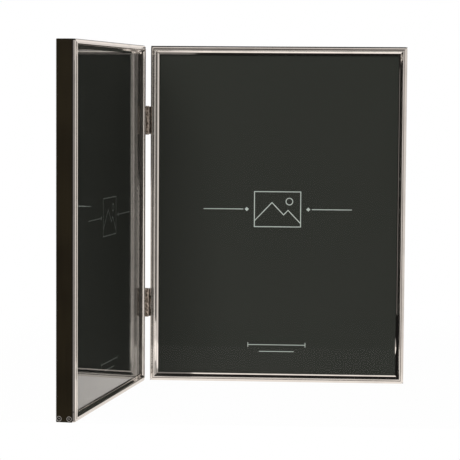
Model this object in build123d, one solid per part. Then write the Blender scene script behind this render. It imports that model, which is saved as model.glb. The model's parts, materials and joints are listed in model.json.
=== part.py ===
from build123d import *
import os

# Hinged double photo frame, in millimetres, +Z up.
# The right frame stands along +X and faces -Y. The left frame is swung towards the viewer.
# The origin is at the foot of the object, in the middle of the room that it takes up.

# Photograph that each frame takes
PHOTO_WIDTH = 152.4
PHOTO_HEIGHT = 203.2
PHOTO_CLEARANCE = 0.4  # room left on each side of it

# Silver moulding section, from its outer edge inwards
TRIM_HEIGHT = 1.9  # top of the bead above the seat, the highest line of the section
SHOULDER_HEIGHT = 0.25  # top of the upright outer side
ROLL_WIDTH = 0.95
ROLL_HEIGHT = 1.35
FLAT_WIDTH = 0.9  # gentle climb from the roll to the bead
BEAD_WIDTH = 1.25
BEAD_FOOT = 1.5  # height of both edges of the bead
STEP_WIDTH = 1.1
STEP_HEIGHT = 0.8  # foot of the slope inside the bead
COVE_WIDTH = 1.0
COVE_SAG = 0.04
LIP_HEIGHT = 0.5
SKIRT_DEPTH = 0.7  # how far its outer edge laps back over the side of the rail
SKIRT_THICKNESS = 0.4

# Layers behind the moulding, from the glass to the lining of the back
GLASS_THICKNESS = 2.0
CARD_THICKNESS = 0.5
PACKING_THICKNESS = 2.0
BOARD_THICKNESS = 3.0
LINING_THICKNESS = 0.5

# Turn clips and their rivets
CLIP_THICKNESS = 0.8
CLIP_CLEARANCE = 0.1  # above and below the clip
CLIP_REACH = 9.0  # pivot to tip
CLIP_ENGAGEMENT = 1.0  # how far the tip goes into the groove
CLIP_EYE_RADIUS = 3.2
CLIP_TIP_RADIUS = 1.8
CLIP_INSET = 50.0  # top or bottom of the frame to the pivot
RIB_HEIGHT = 0.35
RIB_WIDTH = 1.2
RIB_LENGTH = 3.4
RIB_START = 2.8  # pivot to the near end of the rib
RIB_TAPER = 30.0  # slope of its sides, in degrees
RIVET_RADIUS = 1.2
RIVET_HEAD_RADIUS = 2.2
RIVET_HEAD_HEIGHT = 0.6
RIVET_CROWN_RADIUS = 1.5
RIVET_GRIP = 2.0  # how far the shank goes into the back board
RUNNING_CLEARANCE = 0.05
FIXED_CLEARANCE = 0.02
FASTENER_SIDES = 16  # flats on clips and small round fasteners, which keeps the model light

# Dark carcass rails
WALL = 3.2
REAR_MARGIN = 0.2  # rivet heads to the back edge
REAR_ROUND = 0.6
GROOVE_DEPTH = 1.3
GROOVE_CLEARANCE = 0.15

# Corner pins at the foot of the outer stile
PIN_FRONT_MARGIN = 0.1  # skirt of the moulding to the front pin's head
PIN_BACK_MARGIN = 0.3  # back pin's head to the back edge of the rail
PIN_RISE = 1.9  # above the foot
PIN_HEAD_RADIUS = 1.5
PIN_HEAD_DEPTH = 0.9
PIN_SINK = 0.15
PIN_SHANK_RADIUS = 0.8
PIN_LENGTH = 9.0

# Butt hinges
HINGE_LENGTH = 17.2
HINGE_TOP_INSET = 46.4  # top of the frame to the middle of the upper hinge
HINGE_FOOT_INSET = 49.5  # foot of the frame to the middle of the lower hinge
KNUCKLES = 4
KNUCKLE_GAP = 0.15
KNUCKLE_RADIUS = 1.9
LEAF_THICKNESS = 0.7
LEAF_REACH = 8.5  # hinge axis to the far edge of a leaf
LEAF_CORNER = 1.0
NOTCH_CLEARANCE = 0.15
HINGE_PIN_PROUD = 0.35
AXIS_OFFSET = 0.15  # hinge axis in front of the moulding
SCREW_EDGE = 2.6  # screw to the far edge of the leaf
SCREW_SPACING = 9.2
SCREW_HEAD_RADIUS = 1.4
SCREW_SHANK_RADIUS = 0.75
SCREW_LENGTH = 2.2  # beyond the leaf
SCREW_SLOT_WIDTH = 0.35
SCREW_SLOT_DEPTH = 0.3

REST_ANGLE = 98.0  # between the two faces, as the frame stands

# Sizes that follow from the ones above
REBATE_WIDTH = PHOTO_WIDTH + 2 * PHOTO_CLEARANCE
REBATE_HEIGHT = PHOTO_HEIGHT + 2 * PHOTO_CLEARANCE
FRAME_WIDTH = REBATE_WIDTH + 2 * WALL
FRAME_HEIGHT = REBATE_HEIGHT + 2 * WALL
TRIM_WIDTH = ROLL_WIDTH + FLAT_WIDTH + BEAD_WIDTH + STEP_WIDTH + COVE_WIDTH
LAYERS = {
    "glass": GLASS_THICKNESS,
    "insert_card": CARD_THICKNESS,
    "packing_board": PACKING_THICKNESS,
    "back_board": BOARD_THICKNESS,
    "back_lining": LINING_THICKNESS,
}
STACK = sum(LAYERS.values())
CLIP_FRONT = STACK + CLIP_CLEARANCE
CLIP_BACK = CLIP_FRONT + CLIP_THICKNESS
HEAD_FRONT = CLIP_BACK + CLIP_CLEARANCE
CARCASS_DEPTH = HEAD_FRONT + RIVET_HEAD_HEIGHT + REAR_MARGIN
CLIP_PIVOT = WALL + CLIP_REACH - CLIP_ENGAGEMENT
HINGE_PIN_RADIUS = KNUCKLE_RADIUS - LEAF_THICKNESS - RUNNING_CLEARANCE
HALF_GAP = KNUCKLE_RADIUS
NOTCH = KNUCKLE_RADIUS + NOTCH_CLEARANCE

# Each frame is first built lying on its back: x from its hinge edge, y up from its foot and z forward
# from the seat, the plane where the moulding meets the carcass and the glass.
BOTTOM_ALIGN = (Align.CENTER, Align.CENTER, Align.MIN)


def many_sided(start_radius, end_radius, length):
    """Straight or tapered bar along z, with the fasteners' number of flats."""
    start = RegularPolygon(start_radius, FASTENER_SIDES)
    end = Pos(0, 0, length) * RegularPolygon(end_radius, FASTENER_SIDES)
    return loft([start, end], ruled=True)


def moulding_section():
    """Skirt over the rail, rolled outer edge, climbing flat, bead, slope and a cove down to the glass."""
    shoulder = (0, SHOULDER_HEIGHT)
    roll_end = (ROLL_WIDTH, ROLL_HEIGHT)
    bead_start = (ROLL_WIDTH + FLAT_WIDTH, BEAD_FOOT)
    bead_top = (bead_start[0] + BEAD_WIDTH / 2, TRIM_HEIGHT)
    bead_end = (bead_start[0] + BEAD_WIDTH, BEAD_FOOT)
    cove_start = (bead_end[0] + STEP_WIDTH, STEP_HEIGHT)
    lip = (TRIM_WIDTH, LIP_HEIGHT)
    cove_middle = ((cove_start[0] + lip[0]) / 2, (cove_start[1] + lip[1]) / 2 - COVE_SAG)
    underside = [
        (TRIM_WIDTH, 0),
        (SKIRT_THICKNESS, 0),
        (SKIRT_THICKNESS, -SKIRT_DEPTH),
        (0, -SKIRT_DEPTH),
    ]
    with BuildSketch() as section:
        with BuildLine():
            Line((0, -SKIRT_DEPTH), shoulder)
            TangentArc(shoulder, roll_end, tangent=(0, 1))
            Line(roll_end, bead_start)
            ThreePointArc(bead_start, bead_top, bead_end)
            Line(bead_end, cove_start)
            ThreePointArc(cove_start, cove_middle, lip)
            Polyline(lip, *underside)
        make_face()
    return section.sketch


def carcass_section():
    """Upright wall with a clip groove inside, a rebate for the skirt and a rounded outer back edge."""
    groove_front = -(CLIP_FRONT - GROOVE_CLEARANCE)
    groove_height = CLIP_THICKNESS + 2 * GROOVE_CLEARANCE
    wall = Pos(WALL / 2, -CARCASS_DEPTH / 2) * Rectangle(WALL, CARCASS_DEPTH)
    outer_back = wall.vertices().group_by(Axis.Y)[0].sort_by(Axis.X)[0]
    wall = fillet(outer_back, REAR_ROUND)
    groove_centre = (WALL - GROOVE_DEPTH / 2, groove_front - groove_height / 2)
    wall -= Pos(*groove_centre) * Rectangle(GROOVE_DEPTH, groove_height)
    return wall - Rectangle(SKIRT_THICKNESS, SKIRT_DEPTH, align=(Align.MIN, Align.MAX))


def mitred_rail(section, length, width):
    """Carries a section along x and cuts both ends at 45 degrees."""
    bar = extrude(Plane.YZ * section, amount=length)
    outline = Polygon((0, 0), (length, 0), (length - width, width), (width, width), align=None)
    return bar & extrude(Pos(0, 0, -CARCASS_DEPTH) * outline, amount=CARCASS_DEPTH + TRIM_HEIGHT)


def four_rails(section, width):
    """Bottom, outer, top and hinge rail of one frame, met at their mitres."""
    across = mitred_rail(section, FRAME_WIDTH, width)
    upright = mitred_rail(section, FRAME_HEIGHT, width)
    return {
        "bottom": across,
        "outer": Pos(FRAME_WIDTH, 0) * Rot(0, 0, 90) * upright,
        "top": Pos(FRAME_WIDTH, FRAME_HEIGHT) * Rot(0, 0, 180) * across,
        "hinge": Pos(0, FRAME_HEIGHT) * Rot(0, 0, 270) * upright,
    }


def layer_plates():
    """Glass, card and boards, stacked back from the seat."""
    plates = {}
    back = 0
    for name, thickness in LAYERS.items():
        back += thickness
        plate = Box(PHOTO_WIDTH, PHOTO_HEIGHT, thickness, align=BOTTOM_ALIGN)
        plates[name] = Pos(FRAME_WIDTH / 2, FRAME_HEIGHT / 2, -back) * plate
    return plates


def clip_places():
    """Pivot and direction of each turn clip: two beside each upright rail."""
    rows = {"upper": FRAME_HEIGHT - CLIP_INSET, "lower": CLIP_INSET}
    columns = {"hinge": (CLIP_PIVOT, 180), "outer": (FRAME_WIDTH - CLIP_PIVOT, 0)}
    return {
        f"turn_clip_{column}_{row}": Pos(x, y) * Rot(0, 0, turn)
        for column, (x, turn) in columns.items()
        for row, y in rows.items()
    }


def turn_clip():
    """Flat pear-shaped stamping with a pressed rib and an eye for its rivet."""
    heel = RegularPolygon(CLIP_EYE_RADIUS, FASTENER_SIDES)
    tip = Pos(CLIP_REACH - CLIP_TIP_RADIUS, 0) * RegularPolygon(CLIP_TIP_RADIUS, FASTENER_SIDES)
    outline = make_hull(heel.edges() + tip.edges())
    eye = Circle(RIVET_RADIUS + RUNNING_CLEARANCE)
    blade = extrude(Pos(0, 0, -CLIP_BACK) * (outline - eye), amount=CLIP_THICKNESS)
    rib = Rectangle(RIB_LENGTH, RIB_WIDTH, align=(Align.MIN, Align.CENTER))
    return blade + extrude(Pos(RIB_START, 0, -CLIP_BACK) * rib, amount=-RIB_HEIGHT, taper=RIB_TAPER)


def clip_rivet():
    """Crowned head behind the clip and a round shank that ends in the back board."""
    head = Rot(180, 0, 0) * many_sided(RIVET_HEAD_RADIUS, RIVET_CROWN_RADIUS, RIVET_HEAD_HEIGHT)
    shank_front = STACK - LINING_THICKNESS - RIVET_GRIP
    shank = Cylinder(RIVET_RADIUS, HEAD_FRONT - shank_front, align=BOTTOM_ALIGN)
    return Pos(0, 0, -HEAD_FRONT) * (head + shank)


def rivet_hole():
    """Room for a rivet's shank in the lining and the back board."""
    depth = LINING_THICKNESS + RIVET_GRIP + FIXED_CLEARANCE
    hole = RegularPolygon(RIVET_RADIUS + FIXED_CLEARANCE, FASTENER_SIDES, major_radius=False)
    return extrude(Pos(0, 0, -STACK) * hole, amount=depth)


def corner_pin(clearance=0.0):
    """Round head in the side of the outer stile and a shank into the bottom rail."""
    head_radius = PIN_HEAD_RADIUS + clearance
    shank_radius = PIN_SHANK_RADIUS + clearance
    head = many_sided(head_radius, head_radius, PIN_HEAD_DEPTH + clearance)
    return head + many_sided(shank_radius, shank_radius, PIN_LENGTH + clearance)


def corner_pin_places():
    """Near the front and the back edge of the outer stile, with the shank pointing inwards."""
    front = SKIRT_DEPTH + PIN_FRONT_MARGIN + PIN_HEAD_RADIUS
    back = CARCASS_DEPTH - PIN_BACK_MARGIN - PIN_HEAD_RADIUS
    return [Pos(FRAME_WIDTH, PIN_RISE, -depth) * Rot(0, -90, 0) for depth in (front, back)]


def driven_corner_pins():
    """Corner pins driven just below the surface."""
    return [place * Pos(0, 0, PIN_SINK) * corner_pin() for place in corner_pin_places()]


def corner_pin_holes():
    """Holes for the corner pins, open at the side of the stile."""
    mouth_radius = PIN_HEAD_RADIUS + FIXED_CLEARANCE
    mouth = many_sided(mouth_radius, mouth_radius, PIN_SINK)
    hole = mouth + Pos(0, 0, PIN_SINK) * corner_pin(FIXED_CLEARANCE)
    return [place * hole for place in corner_pin_places()]


def frame_pieces():
    """All pieces of one frame apart from the hinges, lying on its back."""
    carcass = four_rails(carcass_section(), WALL)
    trim = four_rails(moulding_section(), TRIM_WIDTH)
    for hole in corner_pin_holes():
        carcass["outer"] -= hole
        carcass["bottom"] -= hole
    pieces = {f"{side}_rail": rail for side, rail in carcass.items()}
    pieces |= {f"{side}_moulding": rail for side, rail in trim.items()}
    pieces |= layer_plates()
    places = clip_places()
    for place in places.values():
        pieces["back_board"] -= place * rivet_hole()
        pieces["back_lining"] -= place * rivet_hole()
    pieces |= {name: place * turn_clip() for name, place in places.items()}
    pieces["clip_rivets"] = Compound(children=[place * clip_rivet() for place in places.values()])
    pieces["corner_pins"] = Compound(children=driven_corner_pins())
    return pieces


# The hinges are built about their axis, which is the z axis, on the right frame's side of it.


def hinge_screw(clearance=0.0):
    """Countersunk head in the leaf and a shank into the rail, along x."""
    shank_radius = SCREW_SHANK_RADIUS + clearance
    head = many_sided(SCREW_HEAD_RADIUS + clearance, shank_radius, LEAF_THICKNESS)
    shank = many_sided(shank_radius, shank_radius, SCREW_LENGTH + clearance)
    return Rot(0, 90, 0) * (head + Pos(0, 0, LEAF_THICKNESS) * shank)


def slotted_screw():
    """Hinge screw with a slot across its head."""
    slot = Box(2 * SCREW_SLOT_DEPTH, SCREW_SLOT_WIDTH, 2 * SCREW_HEAD_RADIUS)
    return hinge_screw() - slot


def screw_places(foot):
    """Two screws through a leaf whose lower end is at the height foot."""
    middle = foot + HINGE_LENGTH / 2
    heights = (middle - SCREW_SPACING / 2, middle + SCREW_SPACING / 2)
    return [Pos(HALF_GAP - LEAF_THICKNESS, LEAF_REACH - SCREW_EDGE, height) for height in heights]


def hinge_leaf(foot, first_knuckle, bore_radius):
    """Plate with every second knuckle, counted up from the foot, rolled round the bore."""
    inner_face = HALF_GAP - LEAF_THICKNESS
    plate_size = (LEAF_REACH - NOTCH, HINGE_LENGTH)
    plate = Pos(NOTCH, foot) * Rectangle(*plate_size, align=Align.MIN)
    plate = chamfer(plate.vertices().group_by(Axis.X)[-1], LEAF_CORNER)
    leaf = extrude(Plane.YZ.offset(inner_face) * plate, amount=LEAF_THICKNESS)
    tail = Pos(inner_face, 0) * Rectangle(LEAF_THICKNESS, NOTCH, align=Align.MIN)
    roll = Circle(KNUCKLE_RADIUS) + tail - Circle(bore_radius)
    pitch = HINGE_LENGTH / KNUCKLES
    for index in range(first_knuckle, KNUCKLES, 2):
        start = foot + index * pitch + KNUCKLE_GAP / 2
        leaf += extrude(Pos(0, 0, start) * roll, amount=pitch - KNUCKLE_GAP)
    for place in screw_places(foot):
        leaf -= place * hinge_screw(FIXED_CLEARANCE)
    return leaf


def hinge_pin(foot):
    """Pin a little longer than the barrel."""
    length = HINGE_LENGTH + 2 * HINGE_PIN_PROUD
    return Pos(0, 0, foot - HINGE_PIN_PROUD) * Cylinder(HINGE_PIN_RADIUS, length, align=BOTTOM_ALIGN)


def double_frame():
    """All pieces in place about the hinge axis, with the left frame at its rest angle."""
    hinge_feet = {
        "upper": FRAME_HEIGHT - HINGE_TOP_INSET - HINGE_LENGTH / 2,
        "lower": HINGE_FOOT_INSET - HINGE_LENGTH / 2,
    }
    seat = Plane((HALF_GAP, AXIS_OFFSET + TRIM_HEIGHT, 0), x_dir=(1, 0, 0), z_dir=(0, -1, 0))
    frame = {name: seat.location * piece for name, piece in frame_pieces().items()}
    places = [place for foot in hinge_feet.values() for place in screw_places(foot)]
    for place in places:
        frame["hinge_rail"] -= place * hinge_screw(FIXED_CLEARANCE)
    frame["hinge_screws"] = Compound(children=[place * slotted_screw() for place in places])

    def to_left(piece):
        return mirror(piece, about=Plane.YZ).rotate(Axis.Z, 180 - REST_ANGLE)

    pieces = {f"right_{name}": piece for name, piece in frame.items()}
    pieces |= {f"left_{name}": to_left(piece) for name, piece in frame.items()}
    for row, foot in hinge_feet.items():
        pieces[f"{row}_hinge_right_leaf"] = hinge_leaf(foot, 0, HINGE_PIN_RADIUS + FIXED_CLEARANCE)
        left_leaf = hinge_leaf(foot, 1, HINGE_PIN_RADIUS + RUNNING_CLEARANCE)
        pieces[f"{row}_hinge_left_leaf"] = to_left(left_leaf)
        pieces[f"{row}_hinge_pin"] = hinge_pin(foot)
    return pieces


pieces = double_frame()
corners = [piece.bounding_box() for piece in pieces.values()]
centre_x = (min(box.min.X for box in corners) + max(box.max.X for box in corners)) / 2
centre_y = (min(box.min.Y for box in corners) + max(box.max.Y for box in corners)) / 2
to_origin = Pos(-centre_x, -centre_y)
os.makedirs("parts", exist_ok=True)
for name, piece in pieces.items():
    export_step(to_origin * piece, f"parts/{name}.step")
print(f"hinge axis at x {-centre_x:.4f}, y {-centre_y:.4f}; {len(pieces)} pieces")
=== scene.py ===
import json
import math

import bmesh
import bpy
import numpy as np
from mathutils import Matrix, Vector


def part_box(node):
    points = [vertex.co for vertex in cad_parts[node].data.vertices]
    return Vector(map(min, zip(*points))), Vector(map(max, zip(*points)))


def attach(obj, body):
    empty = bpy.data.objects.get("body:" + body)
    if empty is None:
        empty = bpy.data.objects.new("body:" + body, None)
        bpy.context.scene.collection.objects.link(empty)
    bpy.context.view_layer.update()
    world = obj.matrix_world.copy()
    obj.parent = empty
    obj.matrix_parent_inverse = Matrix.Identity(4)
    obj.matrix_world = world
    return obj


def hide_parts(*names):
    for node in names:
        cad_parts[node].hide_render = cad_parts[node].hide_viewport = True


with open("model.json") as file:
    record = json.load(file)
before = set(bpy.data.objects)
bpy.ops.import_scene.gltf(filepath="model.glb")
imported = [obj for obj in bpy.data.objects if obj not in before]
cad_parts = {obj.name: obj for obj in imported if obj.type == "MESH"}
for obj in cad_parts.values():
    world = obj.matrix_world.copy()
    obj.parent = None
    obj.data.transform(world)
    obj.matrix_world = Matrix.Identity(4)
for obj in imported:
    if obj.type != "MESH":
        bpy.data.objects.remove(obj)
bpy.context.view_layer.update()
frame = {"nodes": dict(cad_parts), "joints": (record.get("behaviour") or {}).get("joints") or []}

# Rails: four lengths of hardwood behind each silver moulding, grooved inside for the turn clips.
# They are mitred and glued, filled, and sprayed with a near-black satin lacquer.
SIDES = ("right", "left")
RAILS = ("bottom", "outer", "top", "hinge")


class Field:
    """A value that varies over a surface, held in a socket. Sums on it add Math nodes to its tree."""

    def __init__(self, tree, socket=None):
        self.tree = tree
        self.socket = socket

    def node(self, kind, settings=(), inputs=(), output=0):
        """Adds a node of that kind, with its settings, then the values or fields of its inputs."""
        made = self.tree.nodes.new("ShaderNode" + kind)
        for key, value in dict(settings).items():
            setattr(made, key, value)
        for key, value in dict(inputs).items():
            if isinstance(value, Field):
                self.tree.links.new(value.socket, made.inputs[key])
            else:
                made.inputs[key].default_value = value
        return Field(self.tree, made.outputs[output])

    def maths(self, operation, *values):
        """Result of a Math node on values or fields."""
        return self.node("Math", {"operation": operation}, enumerate(values))

    def __add__(self, other):
        return self.maths("ADD", self, other)

    def __radd__(self, other):
        return self.maths("ADD", other, self)

    def __sub__(self, other):
        return self.maths("SUBTRACT", self, other)

    def __rsub__(self, other):
        return self.maths("SUBTRACT", other, self)

    def __mul__(self, other):
        return self.maths("MULTIPLY", self, other)

    def __rmul__(self, other):
        return self.maths("MULTIPLY", other, self)

    def __abs__(self):
        return self.maths("ABSOLUTE", self)

    def most(self, other):
        """The greater of the two at each point."""
        return self.maths("MAXIMUM", self, other)

    def root(self):
        return self.maths("SQRT", self)

    def wave(self):
        return self.maths("SINE", self)

    def ramp(self, low, high):
        """0 below low, 1 above high, and an eased rise between them; low may be the greater."""
        limits = {"Value": self, "From Min": low, "From Max": high}
        return self.node("MapRange", {"interpolation_type": "SMOOTHSTEP"}, limits)

    def band(self, low, high, soft):
        """1 between low and high, with edges that are eased over soft to each side."""
        return self.ramp(low - soft, low + soft) * self.ramp(high + soft, high - soft)

    def part(self, axis):
        """X, Y or Z of a vector, or red, green or blue of a colour."""
        return self.node("SeparateXYZ", (), {0: self}, output=axis)

    def tint(self, low, high):
        """Colour that goes from low to high as the value goes from 0 to 1."""
        return self.node("Mix", {"data_type": "RGBA"}, {0: self, 6: (*low, 1), 7: (*high, 1)}, output=2)


def new_finish(name):
    """An empty material, and a field to make its nodes from."""
    material = bpy.data.materials.new(name)
    material.use_nodes = True
    material.node_tree.nodes.clear()
    return material, Field(material.node_tree)


def put_surface(maker, shader):
    """Leads a shader to the material's output."""
    output = maker.tree.nodes.new("ShaderNodeOutputMaterial")
    maker.tree.links.new(shader.socket, output.inputs["Surface"])


def place_on(maker, stretch=(1, 1, 1), about=(0, 0, 0), turned=0.0):
    """Object coordinates measured from a point, turned about the upright and stretched."""
    spot = maker.node("TexCoord", output="Object")
    mapped = {"Vector": spot, "Location": about, "Rotation": (0, 0, turned)}
    spot = maker.node("Mapping", {"vector_type": "TEXTURE"}, mapped)
    return maker.node("VectorMath", {"operation": "MULTIPLY"}, {0: spot, 1: stretch})


def mottle(maker, spot, scale, detail=3.0, roughness=0.55):
    """Cloudy value about 0.5; scale counts clouds to the metre."""
    look = {"Vector": spot, "Scale": scale, "Detail": detail, "Roughness": roughness}
    return maker.node("TexNoise", (), look)


def dress(node, material):
    """Gives a CAD node a finish."""
    cad_object = frame["nodes"][node]
    if not cad_object.material_slots:
        cad_object.data.materials.append(material)
    for slot in cad_object.material_slots:
        slot.material = material


lacquer, maker = new_finish("satin_lacquer")
clouds = mottle(maker, place_on(maker), 28)
grain_lines = mottle(maker, place_on(maker, (1, 1, 0.04)), 900)
orange_peel = mottle(maker, place_on(maker), 1600)
depth_of_coat = (clouds * 0.7 + grain_lines * 0.3).ramp(0.3, 0.7)
skin = {"Strength": 0.12, "Distance": 0.0003, "Height": orange_peel + grain_lines * 0.5}
put_surface(maker, maker.node("BsdfPrincipled", (), {
    "Base Color": depth_of_coat.tint((0.0075, 0.0055, 0.0028), (0.0125, 0.0095, 0.0048)),
    "Roughness": 0.38 + 0.16 * clouds,
    "Specular IOR Level": 0.25,
    "Coat Weight": 0.03 + 0.05 * clouds,
    "Coat Roughness": 0.25,
    "Normal": maker.node("Bump", (), skin),
}))
for side in SIDES:
    for rail in RAILS:
        dress(f"{side}_{rail}_rail", lacquer)

# Mouldings: thin brass strip rolled to a section with a roll, a bead and a cove, plated with silver and
# polished. Its outer edge laps over the rail. Each length is mitred and soldered to the next, and is
# dressed off at the outer corners. Grime has settled in its hollows, and painted shade darkens them
# further, more on the right frame than on the left. On the left hinge stile, painted shade alone lies
# beside the bead and along the lip.
MM = 0.001
swing = next(joint for joint in frame["joints"] if joint["name"] == "frame_hinge")
hinge_x, hinge_y = swing["pos_m"][:2]
turn_of_left = math.pi + math.radians(swing["range_deg"][0])
bottom_low, bottom_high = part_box("right_bottom_rail")
stile_low, stile_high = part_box("right_outer_rail")
frame_width = (bottom_high.x - bottom_low.x) / MM
frame_height = (stile_high.z - stile_low.z) / MM
edge_x = bottom_low.x - hinge_x
seat_y = stile_low.y - hinge_y
SKIRT = (0.4, -0.7)
SKIRT_EASE = 0.12
SHOULDER = 0.25
ROLL_END = (0.95, 1.35)
BEAD_START = (1.85, 1.5)
BEAD_TOP = 1.9
BEAD_END = (3.1, 1.5)
COVE_START = (4.2, 0.8)
LIP = (5.2, 0.5)
COVE_SAG = 0.015
SKIRT_POINTS = 5
ROLL_POINTS = 15
FLAT_POINTS = 8
BEAD_POINTS = 17
COVE_POINTS = 9
CORNER_RADIUS = 1.2
CORNER_RUN = 1.0
CORNER_ROWS = 13
STATIONS = 120
SEAM = 0.015
SEAM_EASE = 0.06
# Grime in the hollows with painted shade over it: the reach from each hollow, a weight by rail and by
# side, and a gain. The left hinge stile has painted shade alone.
GRIME_AND_SHADE_REACH = {BEAD_START: 0.46, COVE_START: 0.34}
GRIME_AND_SHADE_BY_RAIL = {"bottom": 1.0, "outer": 0.8, "top": 1.0, "hinge": 0.4}
GRIME_AND_SHADE_BY_SIDE = {"right": 1.0, "left": 0.2}
LEFT_HINGE_SHADE_REACH = {BEAD_END: 0.5, (LIP[0], 0.0): 0.8}
GRIME_AND_SHADE_GAIN = 1.6
KNOCKS = {
    ("right", "outer"): [(24.0, 4.5, 0.14)],
    ("left", "outer"): [(119.0, 4.0, 0.05), (159.0, 2.0, 0.06)],
}
KNOCK_LIFT = 1.5
CREASE = math.radians(32)
WELD = 1e-7
SLIVER = 1e-8


def stand(points, side):
    """Points of a frame that lies on its back, carried to where it stands. Lying, they are in
    millimetres: x from the hinge edge, y up from the foot, z forward from the front of the rails.
    Standing, x and y are across and up, z is turned to the front, and the left frame is the right one's
    mirror image at the hinge axis, swung round it."""
    across = points[..., 0] * MM + edge_x
    back = seat_y - points[..., 2] * MM
    if side == "left":
        cosine, sine = math.cos(turn_of_left), math.sin(turn_of_left)
        across, back = -across * cosine - back * sine, -across * sine + back * cosine
    return np.stack([hinge_x + across, hinge_y + back, points[..., 1] * MM], axis=-1)


def bowed(start, end, rise, count):
    """Points of the circular arc from start to end whose middle stands off the chord by rise, to the
    left of the way along: with a the half angle, a point is (sin t, cos t - cos a) times the radius."""
    start, end = np.array(start, float), np.array(end, float)
    chord = np.linalg.norm(end - start)
    half_angle = 2 * math.atan2(2 * rise, chord)
    radius = chord / (2 * math.sin(half_angle))
    t = np.linspace(-half_angle, half_angle, count)[:, None]
    along = (end - start) / chord
    left = np.array([-along[1], along[0]])
    middle = (start + end) / 2
    return middle + along * radius * np.sin(t) + left * radius * (np.cos(t) - math.cos(half_angle))


def moulding_profile():
    """Closed section, inwards and up: the skirt, then an upright side that turns over in an arc, a flat
    that climbs to the bead, the bead, the slope inside it and the cove, joined end to end."""
    climb = (ROLL_END[0], ROLL_END[1] - SHOULDER)
    roll_rise = math.hypot(*climb) / 2 * math.tan(math.atan2(*climb) / 2)
    skirt_foot, skirt_side = (SKIRT_EASE, SKIRT[1]), (0.0, SKIRT[1] + SKIRT_EASE)
    runs = [
        np.array([(SKIRT[0], 0.0), SKIRT]),
        bowed(skirt_foot, skirt_side, SKIRT_EASE * (math.sqrt(0.5) - 0.5), SKIRT_POINTS),
        bowed((0.0, SHOULDER), ROLL_END, roll_rise, ROLL_POINTS),
        np.linspace(ROLL_END, BEAD_START, FLAT_POINTS)[1:-1],
        bowed(BEAD_START, BEAD_END, BEAD_TOP - BEAD_START[1], BEAD_POINTS),
        np.linspace(BEAD_END, COVE_START, FLAT_POINTS)[1:-1],
        bowed(COVE_START, LIP, -COVE_SAG, COVE_POINTS),
        np.array([(LIP[0], 0.0)]),
    ]
    return np.concatenate(runs)


def along_mitred_rail(profile, length, stations):
    """Carries a section along a rail and gives along, inwards and up. Between the corners a point goes
    straight on. Near an end, one that lies within the corner radius follows its own part of that arc
    to the mitre, and the rest go straight to it. The last row sinks a little, which eases the seam."""
    inward, up = profile[:, 0][None], profile[:, 1][None]
    begin = LIP[0] + CORNER_RUN
    t = np.linspace(0, 1, CORNER_ROWS)[:, None]
    arc_share = np.clip((t - 0.5) * 2, 0, 1) * math.pi / 4
    inner = np.clip(CORNER_RADIUS - inward, 0, None)
    straight = begin + (np.maximum(inward, CORNER_RADIUS) - begin) * np.clip(t * 2, 0, 1)
    end_along = straight - inner * np.sin(arc_share) + SEAM * (t == 1)
    end_inward = np.where(inner > 0, CORNER_RADIUS - inner * np.cos(arc_share), inward)
    end_up = up - np.minimum(SEAM_EASE * (t == 1), np.maximum(up, 0))
    middle = np.linspace(begin, length - begin, stations)[1:-1, None] + 0 * inward
    rows_along = np.concatenate([end_along[::-1], middle, length - end_along])
    rows_inward = np.concatenate([end_inward[::-1], middle * 0 + inward, end_inward])
    rows_up = np.concatenate([end_up[::-1], middle * 0 + up, end_up])
    return rows_along, rows_inward, rows_up


def knocked(along, inward, up, knocks):
    """Bends the thin lip inwards and up where the strip has been knocked: a bell curve along the rail
    times the square of how far a point lies past the start of the cove. A knock is its place along the
    rail, its spread and its bend."""
    near_lip = np.clip((inward - COVE_START[0]) / (LIP[0] - COVE_START[0]), 0, 1) * (up > 0)
    for place, spread, bend in knocks:
        push = bend * np.exp(-((along - place) / spread) ** 2) * near_lip * near_lip
        inward, up = inward + push, up + KNOCK_LIFT * push
    return along, inward, up


def on_rail(rail, along, inward, up):
    """A rail's own measures, laid round the frame on its back."""
    places = {
        "bottom": (along, inward),
        "outer": (frame_width - inward, along),
        "top": (frame_width - along, frame_height - inward),
        "hinge": (inward, frame_height - along),
    }
    return np.stack([*places[rail], up], axis=-1)


def make_piece(name, grids, material, creased=CREASE):
    """One piece from grids of points, whose columns close up into rings. Neighbours in rows and columns
    make four-sided faces. The end rings are capped, joined to each other, or drawn in to poles already.
    Each point's lie, three measures that its finish follows, goes into an attribute of that name."""
    vertices, lies, faces, start = [], [], [], 0
    for points, lie, ends in grids:
        rows, columns = points.shape[:2]
        index = start + np.arange(rows * columns).reshape(rows, columns)
        ring = np.concatenate([index, index[:, :1]], axis=1)
        if ends == "joined":
            ring = np.concatenate([ring, ring[:1]])
        corners = [ring[:-1, :-1], ring[:-1, 1:], ring[1:, 1:], ring[1:, :-1]]
        faces += np.stack(corners, axis=-1).reshape(-1, 4).tolist()
        if ends == "capped":
            faces += [index[0].tolist(), index[-1].tolist()]
        vertices.append(points.reshape(-1, 3))
        lies.append(np.stack(np.broadcast_arrays(*lie, points[..., 0])[:3], axis=-1).reshape(-1, 3))
        start += rows * columns
    mesh = bpy.data.meshes.new(name)
    mesh.from_pydata(np.concatenate(vertices).tolist(), [], faces)
    lie_values = mesh.attributes.new("lie", "FLOAT_VECTOR", "POINT")
    lie_values.data.foreach_set("vector", np.concatenate(lies).ravel())
    work = bmesh.new()
    work.from_mesh(mesh)
    bmesh.ops.remove_doubles(work, verts=work.verts, dist=WELD)
    bmesh.ops.dissolve_degenerate(work, edges=work.edges, dist=SLIVER)
    bmesh.ops.recalc_face_normals(work, faces=work.faces)
    work.to_mesh(mesh)
    work.free()
    mesh.shade_smooth()
    mesh.set_sharp_from_angle(angle=creased)
    mesh.materials.append(material)
    piece = bpy.data.objects.new(name, mesh)
    bpy.context.scene.collection.objects.link(piece)
    return piece


def lie_of(maker):
    """The lie that a piece's points carry."""
    return maker.node("Attribute", {"attribute_name": "lie"}, output="Vector")


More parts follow.
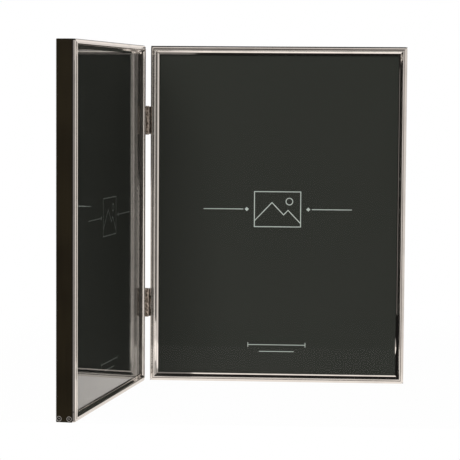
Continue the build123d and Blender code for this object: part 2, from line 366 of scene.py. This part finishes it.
def grime_and_shade_along(profile, reaches):
    """Grime and painted shade along the section: 1 minus the distance from a hollow over its reach,
    for the hollow that gives the most, times the gain and kept between 0 and 1."""
    nearness = [1 - np.linalg.norm(profile - np.array(hollow), axis=1) / reach
                for hollow, reach in reaches.items()]
    return np.clip(GRIME_AND_SHADE_GAIN * np.max(nearness, axis=0), 0, 1)[None]


silver, maker = new_finish("silver_plate")
spot, lie = place_on(maker), lie_of(maker)
# The lie's third measure is grime in the hollows, darkened further by painted shade, and painted shade
# alone on the left hinge stile.
grime = lie.part("Z")
drawn = maker.node("VectorMath", {"operation": "MULTIPLY"}, {0: lie, 1: (0.012, 1, 0)})
draw_lines = mottle(maker, drawn, 9, 4.0, 0.7)
tarnish = mottle(maker, spot, 70, 4.0)
scuffs = mottle(maker, spot, 900, 2.0)
ripple = mottle(maker, spot, 160, 1.0)
specks = maker.node("TexVoronoi", (), {"Vector": spot, "Scale": 55.0}).ramp(0.032, 0.016)
stain_and_shade = (grime * (0.6 + 0.6 * scuffs)).most(tarnish.ramp(0.45, 0.85) * 0.2 + specks * 0.5)
dents = scuffs * 0.08 + ripple * 0.1 + draw_lines * 0.03 - specks * 0.25
relief = {"Strength": 0.2, "Distance": 0.00003, "Height": dents}
put_surface(maker, maker.node("BsdfPrincipled", (), {
    "Base Color": stain_and_shade.tint((0.96, 0.93, 0.89), (0.10, 0.08, 0.065)),
    "Metallic": 1.0,
    "Roughness": 0.02 + 0.03 * draw_lines + 0.03 * tarnish + 0.2 * specks.most(grime * 0.5),
    "Normal": maker.node("Bump", (), relief),
}))
profile = moulding_profile()
for side in SIDES:
    for rail in RAILS:
        length = frame_width if rail in ("bottom", "top") else frame_height
        along, inward, up = along_mitred_rail(profile, length, STATIONS)
        along, inward, up = knocked(along, inward, up, KNOCKS.get((side, rail), []))
        points = stand(on_rail(rail, along, inward, up), side)
        # The left hinge stile gets painted shade beside its bead and along its lip in place of grime.
        if (side, rail) == ("left", "hinge"):
            grime_and_shade = grime_and_shade_along(profile, LEFT_HINGE_SHADE_REACH)
        else:
            grime_and_shade = grime_and_shade_along(profile, GRIME_AND_SHADE_REACH) * GRIME_AND_SHADE_BY_RAIL[rail] * GRIME_AND_SHADE_BY_SIDE[side]
        grid = (points, (along, inward, grime_and_shade), "capped")
        moulding = make_piece(f"{side}_{rail}_silver", [grid], silver)
        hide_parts(f"{side}_{rail}_moulding")
        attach(moulding, f"{side}_frame")

# Corner pins: two round-headed steel pins driven through the foot of the outer stile into the bottom
# rail. Their heads sit just under the surface, and the dark paint on them is rubbed pale at the rim and
# in the middle.
carcass_depth = (stile_high.y - stile_low.y) / MM
PIN_RISE = 1.9
PIN_SINK = 0.15
PIN_DEPTHS = (2.3, carcass_depth - 1.8)
PIN_HEAD = np.array([
    (0.0, 0.04), (0.36, 0.04), (0.44, 0.12), (0.5, 0.22), (1.04, 0.22), (1.1, 0.1), (1.16, 0.0),
    (1.42, 0.0), (1.5, 0.12), (1.5, 0.9), (0.8, 0.95), (0.8, 8.9), (0.6, 9.0), (0.0, 9.0),
])
PIN_RUB_DEPTH = 0.1
ROUND_SIDES = 40


def turned(profile, sides):
    """A profile of radius and depth, spun round its axis into rings; gives two cross axes and depth."""
    angle = np.linspace(0, 2 * math.pi, sides, endpoint=False)[None]
    radius, depth = profile[:, :1], profile[:, 1:]
    return radius * np.cos(angle), radius * np.sin(angle), depth + 0 * angle


pin_paint, maker = new_finish("pin_paint")
worn = mottle(maker, place_on(maker), 1400)
raised = lie_of(maker).part("Z")
rubbed = raised * worn.ramp(0.1, 0.45)
put_surface(maker, maker.node("BsdfPrincipled", (), {
    "Base Color": rubbed.tint((0.002, 0.0015, 0.001), (0.36, 0.335, 0.31)),
    "Metallic": rubbed * 0.3,
    "Roughness": 0.45 + 0.15 * worn,
}))
pin_right, pin_up, pin_depth = turned(PIN_HEAD, ROUND_SIDES)
pin_lie = (pin_right, pin_up, np.clip(1 - pin_depth / PIN_RUB_DEPTH, 0, 1))
for side in SIDES:
    grids = []
    for depth in PIN_DEPTHS:
        along_pin = frame_width - PIN_SINK - pin_depth
        points = np.stack([along_pin, PIN_RISE + pin_up, pin_right - depth], axis=-1)
        grids.append((stand(points, side), pin_lie, "poles"))
    pins = make_piece(f"{side}_pins", grids, pin_paint)
    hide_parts(f"{side}_corner_pins")
    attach(pins, f"{side}_frame")

# Glass: a pane of clear 2 mm picture glass in the rebate of each frame, cut to the photograph's size.
# Its edges are arrissed, and the moulding's inner lip laps over them.
glass_low, glass_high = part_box("right_glass")
PANE_WIDTH = (glass_high.x - glass_low.x) / MM
PANE_HEIGHT = (glass_high.z - glass_low.z) / MM
PANE_FRONT = -0.03
PANE_BACK = -1.92
ARRIS = 0.25
PANE_CORNER = 0.6
PANE_POINTS = 24


def pane_outline(inset):
    """Rectangle round the middle of the frame with quarter-round corners, set in by inset."""
    angle = np.linspace(0, 2 * math.pi, PANE_POINTS, endpoint=False) + math.pi / PANE_POINTS
    half = np.array([PANE_WIDTH / 2, PANE_HEIGHT / 2]) - PANE_CORNER
    ring = np.stack([np.cos(angle), np.sin(angle)], axis=-1)
    middle = np.array([frame_width / 2, frame_height / 2])
    return middle + np.sign(ring) * half + ring * (PANE_CORNER - inset)


clear_glass, maker = new_finish("clear_glass")
glass_body = maker.node("BsdfPrincipled", (), {
    "Base Color": (0.95, 0.985, 0.965, 1),
    "Roughness": 0.0,
    "IOR": 1.5,
    "Specular Tint": (0.1, 0.1, 0.1, 1),
    "Transmission Weight": 1.0,
})
shadow_ray = maker.node("LightPath", output="Is Shadow Ray")
see_through = maker.node("BsdfTransparent", (), {"Color": (0.93, 0.96, 0.945, 1)})
put_surface(maker, maker.node("MixShader", (), {0: shadow_ray, 1: glass_body, 2: see_through}))
rings = [(ARRIS, PANE_FRONT), (0, PANE_FRONT - ARRIS), (0, PANE_BACK + ARRIS), (ARRIS, PANE_BACK)]
lying = np.array([
    np.column_stack([pane_outline(inset), np.full(PANE_POINTS, depth)]) for inset, depth in rings])
for side in SIDES:
    points = stand(lying, side)
    pane = make_piece(f"{side}_pane", [(points, (0.0, 0.0, 0.0), "capped")], clear_glass)
    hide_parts(f"{side}_glass")
    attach(pane, f"{side}_frame")

# Insert cards: stiff charcoal paper that fills the frame until a photograph goes in. A plain picture sign
# between two rules, and a small measure mark near the foot, are printed on them in pale grey.
STROKE = 0.55
RULE_STROKE = 0.5
MARK_STROKE = 0.45
PRINT_EDGE = 0.16
SIGN_RISE = 3.6
SIGN_HALF = (14.5, 11.0)
GREAT_PEAK = (-3.5, 4.2)
SMALL_PEAK = (6.6, -0.6)
PEAK_FALL = 1.05
PEAK_COSINE = 0.69
SUN = (7.4, 4.9)
SUN_RADIUS = 2.1
RULE_MIDDLE = 34.0
RULE_HALF = 12.5
DIAMOND_PLACE = 19.3
DIAMOND_HALF = 1.3
MARK_DROP = -82.0
MARK_HALF = 18.0
TICK_HALF = 1.5
SHORTER_DROP = 4.2
SHORTER_HALF = 11.0


def stroke(distance, width=STROKE):
    """Ink where the distance from a line is under half the stroke's width."""
    return abs(distance).ramp(width / 2 + PRINT_EDGE / 2, width / 2 - PRINT_EDGE / 2)


def inside(distance):
    """Ink where a distance is under zero."""
    return distance.ramp(PRINT_EDGE / 2, -PRINT_EDGE / 2)


def printed_sign(across, up):
    """Print on the card, from distances in millimetres: a box holding two peaks and a round sun, a rule
    with a diamond on each side of it, and near the foot a rule with end ticks over a shorter one."""
    up_sign = up - SIGN_RISE
    box = (abs(across) - SIGN_HALF[0]).most(abs(up_sign) - SIGN_HALF[1])
    great, small = [top - abs(across - place) * PEAK_FALL for place, top in (GREAT_PEAK, SMALL_PEAK)]
    sun_across, sun_up = across - SUN[0], up_sign - SUN[1]
    sun = (sun_across * sun_across + sun_up * sun_up).root()
    ink = stroke(box)
    ink = ink.most(stroke((up_sign - great.most(small)) * PEAK_COSINE) * inside(box))
    ink = ink.most(stroke(sun - SUN_RADIUS))
    rule = stroke(up_sign, RULE_STROKE) * inside(abs(abs(across) - RULE_MIDDLE) - RULE_HALF)
    diamond = inside(abs(abs(across) - DIAMOND_PLACE) + abs(up_sign) - DIAMOND_HALF)
    ink = ink.most(rule).most(diamond)
    up_mark = up - MARK_DROP
    mark = stroke(up_mark, MARK_STROKE) * inside(abs(across) - MARK_HALF)
    ticks = stroke(abs(across) - MARK_HALF, MARK_STROKE) * inside(abs(up_mark) - TICK_HALF)
    shorter = stroke(up_mark + SHORTER_DROP, MARK_STROKE) * inside(abs(across) - SHORTER_HALF)
    return ink.most(mark).most(ticks).most(shorter)


for side in SIDES:
    card_low, card_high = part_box(f"{side}_insert_card")
    middle = (card_low + card_high) / 2
    card_paper, maker = new_finish(f"{side}_card_paper")
    flat = place_on(maker, (1 / MM,) * 3, middle, turn_of_left if side == "left" else 0.0)
    fibres = mottle(maker, place_on(maker), 1800, 5.0, 0.7)
    shading = mottle(maker, place_on(maker), 9, 2.0)
    ink = printed_sign(flat.part("X"), flat.part("Z"))
    paper = (fibres * 0.5 + shading * 0.5).tint((0.0242, 0.0235, 0.0206), (0.0312, 0.0302, 0.0268))
    print_colour = fibres.tint((0.40, 0.40, 0.385), (0.52, 0.52, 0.50))
    printed = {0: ink, 6: paper, 7: print_colour}
    put_surface(maker, maker.node("BsdfPrincipled", (), {
        "Base Color": maker.node("Mix", {"data_type": "RGBA"}, printed, output=2),
        "Roughness": 0.62 + 0.2 * fibres - 0.15 * ink,
        "Specular IOR Level": 0.15,
        "Normal": maker.node("Bump", (), {"Strength": 0.15, "Distance": 0.0001, "Height": fibres}),
    }))
    dress(f"{side}_insert_card", card_paper)

# Backs: a corrugated packing board and a hardboard back, cut to the same size, whose outer face is
# covered with black flock paper. They press the card to the glass and are held by the turn clips.
FLUTE_RATE = 1800.0
packing, maker = new_finish("packing_card")
flutes = (place_on(maker).part("Z") * FLUTE_RATE).wave()
fibres = mottle(maker, place_on(maker), 900, 4.0)
relief = {"Strength": 0.2, "Distance": 0.0002, "Height": fibres + flutes * 0.2}
put_surface(maker, maker.node("BsdfPrincipled", (), {
    "Base Color": (fibres * 0.8 + flutes * 0.05).tint((0.30, 0.21, 0.13), (0.46, 0.34, 0.22)),
    "Roughness": 0.78 + 0.15 * fibres,
    "Normal": maker.node("Bump", (), relief),
}))
hardboard, maker = new_finish("hardboard")
chips = mottle(maker, place_on(maker), 1100, 5.0, 0.7)
put_surface(maker, maker.node("BsdfPrincipled", (), {
    "Base Color": chips.ramp(0.3, 0.7).tint((0.10, 0.055, 0.03), (0.20, 0.12, 0.07)),
    "Roughness": 0.6 + 0.25 * chips,
    "Normal": maker.node("Bump", (), {"Strength": 0.25, "Distance": 0.0002, "Height": chips}),
}))
flock, maker = new_finish("flock_paper")
pile = mottle(maker, place_on(maker), 5200, 2.0, 0.8)
stroked = mottle(maker, place_on(maker, (1, 1, 0.6)), 45, 4.0)
nap = pile * 0.5 + stroked.ramp(0.35, 0.65) * 0.5
relief = {"Strength": 0.5, "Distance": 0.00025, "Height": pile + stroked * 0.4}
put_surface(maker, maker.node("BsdfPrincipled", (), {
    "Base Color": nap.tint((0.012, 0.012, 0.013), (0.032, 0.031, 0.032)),
    "Roughness": 0.86 + 0.1 * pile,
    "Sheen Weight": 0.25,
    "Sheen Roughness": 0.4,
    "Normal": maker.node("Bump", (), relief),
}))
for side in SIDES:
    dress(f"{side}_packing_board", packing)
    dress(f"{side}_back_board", hardboard)
    dress(f"{side}_back_lining", flock)

# Turn clips: pear-shaped tongues pressed from zinc-plated steel strip, with a rib that stiffens them.
# Each turns on a rivet set in the back board, and its tip goes into the groove of the upright rail.
clip_front = -(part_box("right_turn_clip_hinge_upper")[0].y - stile_low.y) / MM
CLIP_THICKNESS = 0.8
clip_back = clip_front - CLIP_THICKNESS
HEEL_RADIUS = 3.2
TIP_RADIUS = 1.8
TIP_REACH = 7.2
EYE_RADIUS = 1.25
CLIP_EDGE = 0.18
RIB_MIDDLE = 4.5
RIB_HALF_LENGTH = 1.75
RIB_HALF_WIDTH = 0.62
RIB_HEIGHT = 0.35
RIB_EASE = (0.45, 0.35)
CLIP_INSET = 50.0
CLIP_PIVOT = 11.2
CLIP_POINTS = 120
FACE_ROWS = 22
RIM_ROWS = slice(-4, -2)


def pear(inset):
    """Outline of the tongue, two circles and the lines that touch both, set in by inset. A point is the
    centre of the circle that reaches further in its direction, plus that circle's radius."""
    angle = np.linspace(0, 2 * math.pi, CLIP_POINTS, endpoint=False)
    direction = np.stack([np.cos(angle), np.sin(angle)], axis=-1)
    at_tip = (np.cos(angle) * TIP_REACH + TIP_RADIUS > HEEL_RADIUS)[:, None]
    centre = np.where(at_tip, np.array([[TIP_REACH, 0.0]]), 0.0)
    return centre + direction * (np.where(at_tip, TIP_RADIUS, HEEL_RADIUS) - inset)


def eased(share):
    """Share from 0 to 1 with a flat start and end: its square times three less twice itself."""
    return share * share * (3 - 2 * share)


def tongue():
    """Closed rings from the eye over the back face to the rim, round it and along the front face to the
    eye again. The back face is raised by an eased hump where the rib is pressed."""
    rim = pear(CLIP_EDGE)
    bearing = np.arctan2(rim[:, 1], rim[:, 0])
    eye = EYE_RADIUS * np.stack([np.cos(bearing), np.sin(bearing)], axis=-1)
    share = np.linspace(0, 1, FACE_ROWS)[:, None, None]
    face = eye + (rim - eye) * share
    outer = pear(0.0)[None]
    plan = np.concatenate([face, outer, outer, face[::-1][:1], face[:1]])
    long_way = np.clip((RIB_HALF_LENGTH - abs(face[..., 0] - RIB_MIDDLE)) / RIB_EASE[0], 0, 1)
    cross_way = np.clip((RIB_HALF_WIDTH - abs(face[..., 1])) / RIB_EASE[1], 0, 1)
    hump = RIB_HEIGHT * eased(long_way) * eased(cross_way)
    rim_levels = (clip_back + CLIP_EDGE, clip_front - CLIP_EDGE, clip_front, clip_front)
    levels = [np.full((1, CLIP_POINTS), level) for level in rim_levels]
    return plan, np.concatenate([clip_back - hump, *levels])


clip_steel, maker = new_finish("zinc_plate")
spot = place_on(maker)
spangle = maker.node("TexVoronoi", (), {"Vector": spot, "Scale": 420.0}, output="Color")
bloom = mottle(maker, spot, 260, 4.0)
bare = lie_of(maker).part("Z")
zinc = spangle.part("X") * 0.45 + bloom * 0.35 + bare * 0.3
put_surface(maker, maker.node("BsdfPrincipled", (), {
    "Base Color": zinc.tint((0.40, 0.40, 0.395), (0.74, 0.73, 0.71)),
    "Metallic": 1.0,
    "Roughness": 0.28 + 0.16 * bloom - 0.1 * bare,
    "Normal": maker.node("Bump", (), {"Strength": 0.1, "Distance": 0.00005, "Height": bloom}),
}))
plan, level = tongue()
rubbed = np.clip((clip_back - level) / RIB_HEIGHT, 0, 1)
rubbed[RIM_ROWS] = 1.0
for side in SIDES:
    for column, x, way in (("hinge", CLIP_PIVOT, -1), ("outer", frame_width - CLIP_PIVOT, 1)):
        for row, y in (("upper", frame_height - CLIP_INSET), ("lower", CLIP_INSET)):
            points = np.stack([x + way * plan[..., 0], y + way * plan[..., 1], level], axis=-1)
            grid = (stand(points, side), (plan[..., 0], plan[..., 1], rubbed), "joined")
            clip = make_piece(f"{side}_clip_{column}_{row}", [grid], clip_steel)
            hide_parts(f"{side}_turn_clip_{column}_{row}")
            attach(clip, f"{side}_turn_clip_{column}_{row}")

# Clip rivets: one steel rivet through the eye of each clip, with a low domed head on the back.
# The shank is spread in the hardboard, and a washer's room is left so that the clip can turn.
RIVET_CLEARANCE = 0.1
RIVET_RISE = 0.6
SHANK_RADIUS = 1.15
RIVET_HEAD = [(2.2, 0.0), (2.16, 0.2), (1.95, 0.4), (1.5, 0.53), (0.9, 0.585), (0.0, RIVET_RISE)]
shank_end = -(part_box("right_clip_rivets")[0].y - stile_low.y) / MM
shank_length = shank_end - (clip_front - RIVET_CLEARANCE - CLIP_THICKNESS)
RIVET_SHANK = [(0.0, -shank_length), (SHANK_RADIUS, -shank_length), (SHANK_RADIUS, 0.0)]
rivet_right, rivet_up, rivet_depth = turned(np.array(RIVET_SHANK + RIVET_HEAD), ROUND_SIDES)
rivet_lie = (rivet_right, rivet_up, np.clip(rivet_depth / RIVET_RISE, 0, 1))
for side in SIDES:
    grids = []
    for x in (CLIP_PIVOT, frame_width - CLIP_PIVOT):
        for y in (frame_height - CLIP_INSET, CLIP_INSET):
            level = clip_back - RIVET_CLEARANCE - rivet_depth
            points = np.stack([x + rivet_right, y + rivet_up, level], axis=-1)
            grids.append((stand(points, side), rivet_lie, "poles"))
    rivets = make_piece(f"{side}_rivets", grids, clip_steel)
    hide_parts(f"{side}_clip_rivets")
    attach(rivets, f"{side}_frame")

# Hinges: two small butt hinges of pressed brass with an antique nickel finish, one near each end of the
# hinge stiles. Each leaf is screwed to the side of its stile, and a pin runs through the knuckles. Their
# finish is mottled with wear, with a painted shadow in a band beside the knuckles on their front side,
# and a painted highlight in a band along their crowns.
PAINTED_SHADOW_SPAN = (0.0015, 0.0028)
PAINTED_HIGHLIGHT_SPAN = (0.0008, 0.0012)
SPAN_EASE = 0.0002
PAINTED_SHADOW_FRONT_EASE = 0.0005
nickel, maker = new_finish("antique_nickel")
spot = place_on(maker)
age = mottle(maker, place_on(maker, (1, 1, 0.6)), 900, 4.0, 0.6)
grime = mottle(maker, spot, 2200, 3.0)
# Bands measured across from the axis: a painted shadow beside the knuckles, on the front side only, and a
# painted highlight along their crowns.
from_axis = spot.part("X") - hinge_x
before_axis = spot.part("Y").ramp(hinge_y + PAINTED_SHADOW_FRONT_EASE, hinge_y - PAINTED_SHADOW_FRONT_EASE)
painted_crook_shadow = from_axis.band(*PAINTED_SHADOW_SPAN, SPAN_EASE) * before_axis
painted_crown_highlight = from_axis.band(*PAINTED_HIGHLIGHT_SPAN, SPAN_EASE)
# Brightness of the finish: mottled wear, raised by the painted highlight and cut by the painted shadow.
wear_and_painted_light = age.ramp(0.42, 0.6) * 0.75 + grime.ramp(0.35, 0.65) * 0.25
wear_and_painted_light = (wear_and_painted_light + painted_crown_highlight * 0.7) * (1.0 - painted_crook_shadow)
put_surface(maker, maker.node("BsdfPrincipled", (), {
    "Base Color": wear_and_painted_light.tint((0.04, 0.028, 0.02), (0.64, 0.56, 0.49)),
    "Metallic": 1.0,
    "Roughness": 0.5 - 0.2 * wear_and_painted_light,
    "Normal": maker.node("Bump", (), {"Strength": 0.35, "Distance": 0.00015, "Height": grime + age}),
}))
for row in ("upper", "lower"):
    for part in ("right_leaf", "left_leaf", "pin"):
        dress(f"{row}_hinge_{part}", nickel)

# Hinge screws: two small countersunk brass screws in each leaf, with a slot across the head.
# They go through the leaf into the side of the hinge stile, and have the same finish as the leaves.
for side in SIDES:
    dress(f"{side}_hinge_screws", nickel)

# Studio: the frame stands on a white sweep that ends just in front of it, in soft light from the front
# and the back. Pale cards about the room show in its metal and glass, and white, grey and black ones
# close to it in the polished metal alone.
SWEEP_FRONT = -0.086
SWEEP_REACH = 2.5
WARM_WHITE = (1.0, 0.937, 0.89)
AMBIENT = 0.025


def ray_is(maker, *kinds):
    """1 on rays of any of the kinds named."""
    flags = [maker.node("LightPath", output=f"Is {kind} Ray") for kind in kinds]
    any_kind = flags[0]
    for flag in flags[1:]:
        any_kind = any_kind.most(flag)
    return any_kind


def mirror_ray(maker):
    """1 on rays that metal or glass sends on, before any matt surface has scattered them."""
    scattered = maker.node("LightPath", output="Diffuse Depth")
    return ray_is(maker, "Glossy", "Transmission") * scattered.ramp(1, 0)


sweep_mesh = bpy.data.meshes.new("sweep")
sweep_sides = [(-SWEEP_REACH, SWEEP_FRONT), (SWEEP_REACH, SWEEP_FRONT), (SWEEP_REACH, SWEEP_REACH),
               (-SWEEP_REACH, SWEEP_REACH)]
sweep_mesh.from_pydata([(x, y, 0.0) for x, y in sweep_sides], [], [(0, 1, 2, 3)])
sweep_paper, maker = new_finish("white_sweep")
mirrored = mirror_ray(maker)
spot = place_on(maker)
away = maker.node("VectorMath", {"operation": "LENGTH"}, {0: spot}, output="Value")
paper_white = maker.node("BsdfDiffuse", (), {"Color": (0.9, 0.9, 0.9, 1)})
# Shade on the sweep that only polished metal shows: to the right of the frames, towards the back, about
# the foot of the left frame, and just in front of the right frame's bottom rail.
beside = 0.32 * spot.part("X").ramp(0.098, 0.12)
rear = 0.16 * spot.part("Y").ramp(0.0, 0.03)
under_left = 0.24 * spot.part("X").ramp(-0.045, -0.065)
before_rail = spot.part("X").band(-0.055, 0.094, 0.004) * spot.part("Y").band(0.03, 0.069, 0.001)
shaded = beside.most(rear).most(under_left).most(0.65 * before_rail)
paper_light = 1.0 - shaded * ray_is(maker, "Glossy") * (1.0 - ray_is(maker, "Singular"))
paper_tint = mirrored.tint((1, 1, 1), WARM_WHITE)
paper_glow = maker.node("Emission", (), {"Color": paper_tint, "Strength": paper_light})
share = mirrored.most(ray_is(maker, "Camera") * (0.985 + 0.015 * away.ramp(0.2, 0.5)))
put_surface(maker, maker.node("MixShader", (), {0: share, 1: paper_white, 2: paper_glow}))
sweep_mesh.materials.append(sweep_paper)
sweep = bpy.data.objects.new("sweep", sweep_mesh)
bpy.context.scene.collection.objects.link(sweep)

world = bpy.data.worlds.new("studio")
bpy.context.scene.world = world
world.use_nodes = True
world.node_tree.nodes.clear()
maker = Field(world.node_tree)
toward = maker.node("TexCoord", output="Generated")
right, back, up = toward.part("X"), toward.part("Y"), toward.part("Z")
# Pale cards about the room, each by the directions that it lies in.
front = back.ramp(-0.1, -0.3)
front_card = front * right.band(-0.17, 0.3, 0.04) * up.band(-0.2, 0.42, 0.03)
upper_card = front * right.band(-0.25, 0.25, 0.04) * up.band(0.36, 0.58, 0.03)
right_box = right.ramp(0.12, 0.22) * back.ramp(-0.48, -0.6) * up.band(-0.45, 0.5, 0.06)
back_card = back.ramp(0.1, 0.5) * right.ramp(-0.05, 0.25) * up.band(0.05, 0.55, 0.04)
room = (0.015 + front_card * 0.37).most(right_box * 0.62).most(back_card * 0.84).most(upper_card)
mirrored = mirror_ray(maker)
level = AMBIENT + (room - AMBIENT) * mirrored
level = level + (1.0 - level) * ray_is(maker, "Camera")
room_tint = mirrored.tint((1, 1, 1), WARM_WHITE)
background = maker.node("Background", (), {"Color": room_tint, "Strength": level})
output = world.node_tree.nodes.new("ShaderNodeOutputWorld")
world.node_tree.links.new(background.socket, output.inputs["Surface"])


def card(name, start, end, heights, strength):
    """Upright card, lit or black, that only polished metal shows. It is seen from the right-hand side
    of the way from start to end."""
    low, high = heights
    corners = [(*start, low), (*end, low), (*end, high), (*start, high)]
    card_mesh = bpy.data.meshes.new(name)
    card_mesh.from_pydata(corners, [], [(0, 1, 2, 3)])
    card_glow, maker = new_finish(f"{name}_glow")
    face = maker.node("Emission", (), {"Color": (*WARM_WHITE, 1), "Strength": strength})
    unseen = maker.node("NewGeometry", output="Backfacing").most(ray_is(maker, "Singular"))
    nothing = maker.node("BsdfTransparent")
    put_surface(maker, maker.node("MixShader", (), {0: unseen, 1: face, 2: nothing}))
    card_mesh.materials.append(card_glow)
    sheet = bpy.data.objects.new(name, card_mesh)
    for kind in ("camera", "diffuse", "transmission", "shadow"):
        setattr(sheet, f"visible_{kind}", False)
    bpy.context.scene.collection.objects.link(sheet)


card("black_card", (0.085, 0.045), (0.085, 0.0745), (0.0, 0.042), 0.012)
card("edge_card", (0.135, 0.115), (0.135, 0.045), (0.0, 0.24), 0.64)
card("left_card", (-0.107, -0.162), (-0.129, -0.152), (-0.06, 0.26), 0.22)
card("dim_card", (-0.055, -0.163), (-0.104, -0.163), (-0.03, 0.2), 0.2)
card("side_card", (-0.02, -0.045), (-0.02, -0.126), (-0.02, 0.22), 1.0)
card("shade_card", (-0.05, -0.092), (-0.05, -0.165), (-0.03, 0.24), 0.22)
card("stile_card", (0.02, 0.0735), (0.02, 0.058), (0.0, 0.215), 0.85)


def facing(across, upward, forward, place):
    """Matrix of a lamp or camera: its columns are its right, its top, its back and its place."""
    columns = np.column_stack([across, upward, -forward, place])
    return Matrix([*columns.tolist(), (0, 0, 0, 1)])


def soft_lamp(name, place, aim, size, power):
    """Square lamp at a place, turned to face its aim; metal shows the cards instead of it."""
    light = bpy.data.lights.new(name, "AREA")
    light.shape = "SQUARE"
    light.size = size
    light.energy = power
    lamp = bpy.data.objects.new(name, light)
    forward = np.array(aim, float) - np.array(place, float)
    forward /= np.linalg.norm(forward)
    across = np.cross(forward, (0, 0, 1))
    across /= np.linalg.norm(across)
    lamp.matrix_world = facing(across, np.cross(across, forward), forward, place)
    lamp.visible_glossy = False
    lamp.visible_transmission = False
    bpy.context.scene.collection.objects.link(lamp)


soft_lamp("front_lamp", (-0.4, -2.0, 0.7), (0, 0, 0.1), 1.0, 60)
soft_lamp("back_lamp", (-0.3, 2.0, 1.3), (0, 0, 0.1), 1.5, 20)

# Camera: level with the upper part of the frames, a little to the right of the middle and turned to it,
# at the picture's viewing angle.
CAMERA_PLACE = (0.057156, -1.127116, 0.182118)
CAMERA_YAW = math.radians(-3.2738)
CAMERA_PITCH = math.radians(4.1082)
CAMERA_ROLL = math.radians(0.3811)
FILM_WIDTH = 36.0
FOCAL_LENGTH = 150.634
camera_data = bpy.data.cameras.new("camera")
camera_data.sensor_width = FILM_WIDTH
camera_data.lens = FOCAL_LENGTH
level_reach = math.cos(CAMERA_PITCH)
forward = np.array([
    math.sin(CAMERA_YAW) * level_reach, math.cos(CAMERA_YAW) * level_reach, -math.sin(CAMERA_PITCH)])
across = np.array([math.cos(CAMERA_YAW), -math.sin(CAMERA_YAW), 0.0])
upward = np.cross(across, forward)
tilted_across = across * math.cos(CAMERA_ROLL) + upward * math.sin(CAMERA_ROLL)
tilted_upward = upward * math.cos(CAMERA_ROLL) - across * math.sin(CAMERA_ROLL)
camera = bpy.data.objects.new("camera", camera_data)
camera.matrix_world = facing(tilted_across, tilted_upward, forward, CAMERA_PLACE)
bpy.context.scene.collection.objects.link(camera)
bpy.context.scene.camera = camera
bpy.context.scene.view_settings.view_transform = "Standard"
